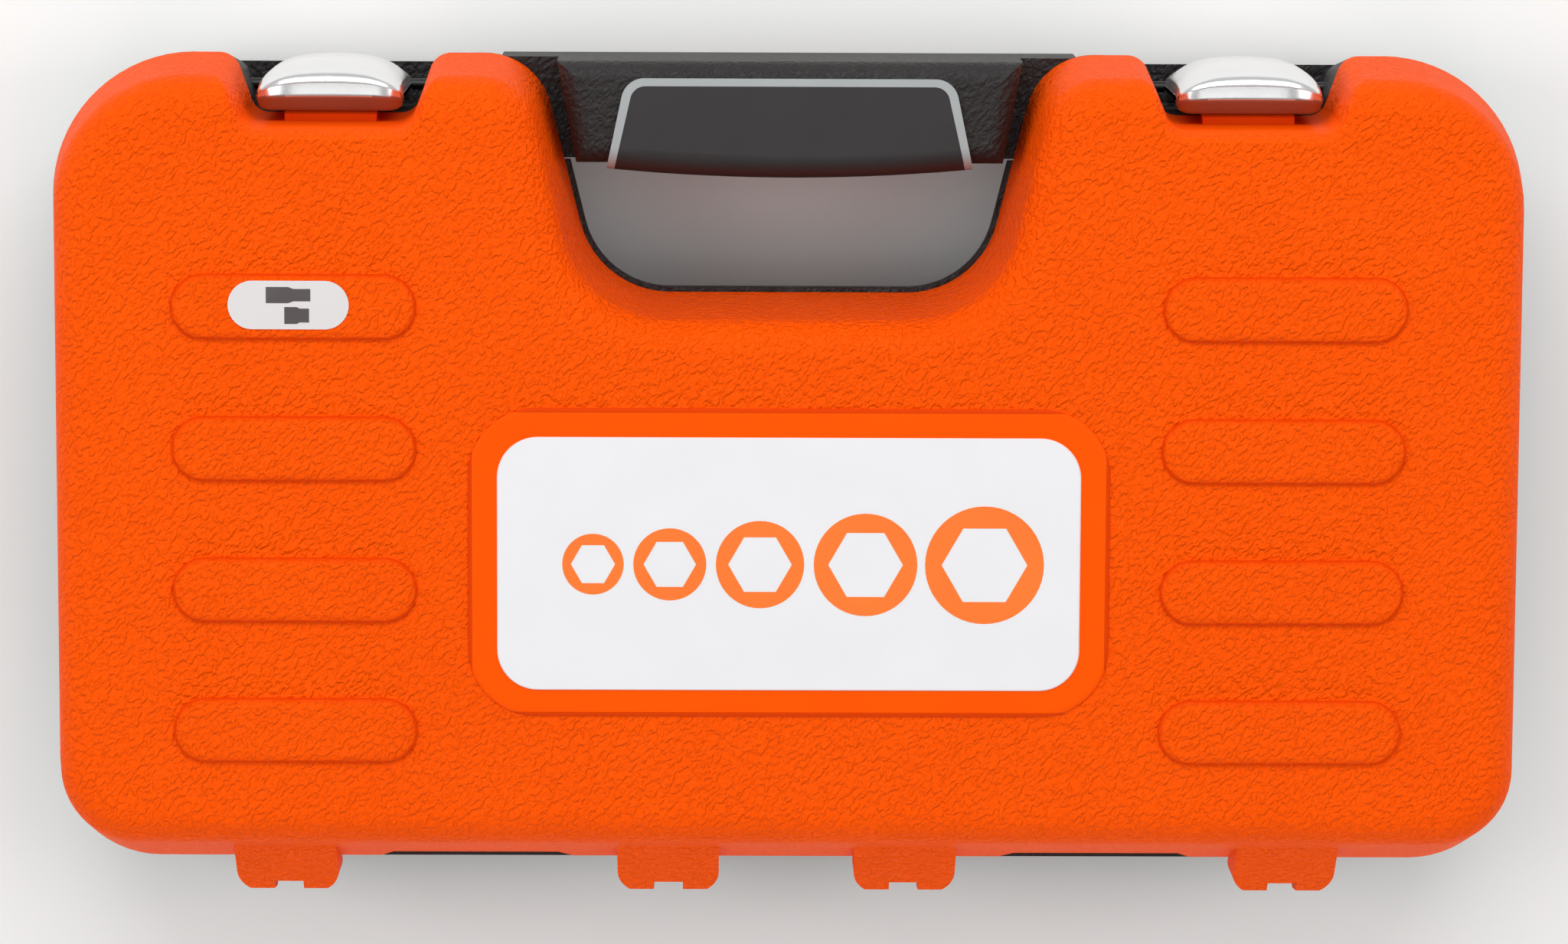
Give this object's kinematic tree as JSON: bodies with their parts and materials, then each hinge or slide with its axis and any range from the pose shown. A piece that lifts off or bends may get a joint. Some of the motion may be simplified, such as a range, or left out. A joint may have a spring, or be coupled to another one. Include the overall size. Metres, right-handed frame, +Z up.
{
  "type": "socket wrench set in case",
  "caption": "Closed carrying case with hinged orange lid, black base with fixed handle, two snap latches and a tray of sockets, extension bars and a reversible ratchet inside.",
  "frame": {"origin": "middle of the resting face under the closed set", "axes": "+X across the width to the right of the picture, +Y towards the carrying handle, +Z up out of the lid"},
  "size_m": [0.39, 0.2246, 0.0819],
  "materials": {
    "orange_plastic": "fine leather grain",
    "black_plastic": "fine leather grain",
    "tray_plastic": "smooth formed sheet",
    "grip_rubber": "soft matte",
    "trim_grey": "satin",
    "white_inlay": "satin",
    "label_film": "printed film",
    "silver_latch": "silver satin",
    "pin_steel": "turned",
    "handle_rubber": "soft matte",
    "chrome_tools": "satin chrome"
  },
  "bodies": {
    "base": {"base_shell": "black_plastic", "hinge_pins": "pin_steel", "latch_pins": "pin_steel", "grip_panel": "grip_rubber", "grip_trim": "trim_grey", "tool_tray": "tray_plastic", "socket_18": "chrome_tools", "socket_19": "chrome_tools", "socket_21": "chrome_tools", "socket_22": "chrome_tools", "socket_24": "chrome_tools", "socket_27": "chrome_tools", "socket_30": "chrome_tools", "socket_32": "chrome_tools", "socket_10": "chrome_tools", "socket_11": "chrome_tools", "socket_12": "chrome_tools", "socket_13": "chrome_tools", "socket_14": "chrome_tools", "socket_15": "chrome_tools", "socket_16": "chrome_tools", "socket_17": "chrome_tools", "plug_socket_21": "chrome_tools", "plug_socket_16": "chrome_tools", "extension_long": "chrome_tools", "extension_short": "chrome_tools", "extension_stub": "chrome_tools", "detent_balls": "pin_steel", "ratchet_body": "chrome_tools", "ratchet_grip": "handle_rubber", "ratchet_cover": "chrome_tools", "cover_screws": "pin_steel"},
    "lid": {"lid_shell": "orange_plastic", "lid_liner": "orange_plastic", "badge_inlay": "white_inlay", "contents_label": "label_film"},
    "latch_left_body": {"latch_left": "silver_latch"},
    "latch_right_body": {"latch_right": "silver_latch"},
    "drive": {"drive_gear": "chrome_tools", "drive_ball": "pin_steel"},
    "pawl_body": {"pawl": "pin_steel"},
    "lever": {"reverse_lever": "chrome_tools"},
    "button": {"release_button": "chrome_tools"}
  },
  "joints": [
    {"name": "lid_hinge", "type": "hinge", "parent": "base", "child": "lid", "pos_m": [0, -0.10825, 0.04], "axis": [1, 0, 0], "range_deg": [0, 180]},
    {"name": "latch_left_hinge", "type": "hinge", "parent": "base", "child": "latch_left_body", "pos_m": [-0.12, 0.1025, 0.02], "axis": [-1, 0, 0], "range_deg": [0, 90]},
    {"name": "latch_right_hinge", "type": "hinge", "parent": "base", "child": "latch_right_body", "pos_m": [0.12, 0.1025, 0.02], "axis": [-1, 0, 0], "range_deg": [0, 90]},
    {"name": "drive_spin", "type": "hinge", "parent": "base", "child": "drive", "pos_m": [-0.158, 0.005, 0.03], "axis": [0, 0, 1], "continuous": true},
    {"name": "reverse_turn", "type": "hinge", "parent": "base", "child": "lever", "pos_m": [-0.158, 0.005, 0.045], "axis": [0, 0, 1], "range_deg": [-30, 30]},
    {"name": "pawl_shift", "type": "hinge", "parent": "base", "child": "pawl_body", "pos_m": [-0.158, 0.005, 0.03], "axis": [0, 0, 1], "range_deg": [-15, 15]},
    {"name": "release_press", "type": "slide", "parent": "drive", "child": "button", "axis": [0, 0, -1], "range_m": [0, 0.002], "stiffness_N_per_m": 300}
  ],
  "couplings": [
    {"joint": "pawl_shift", "follows": "reverse_turn", "ratio": 0.5}
  ]
}
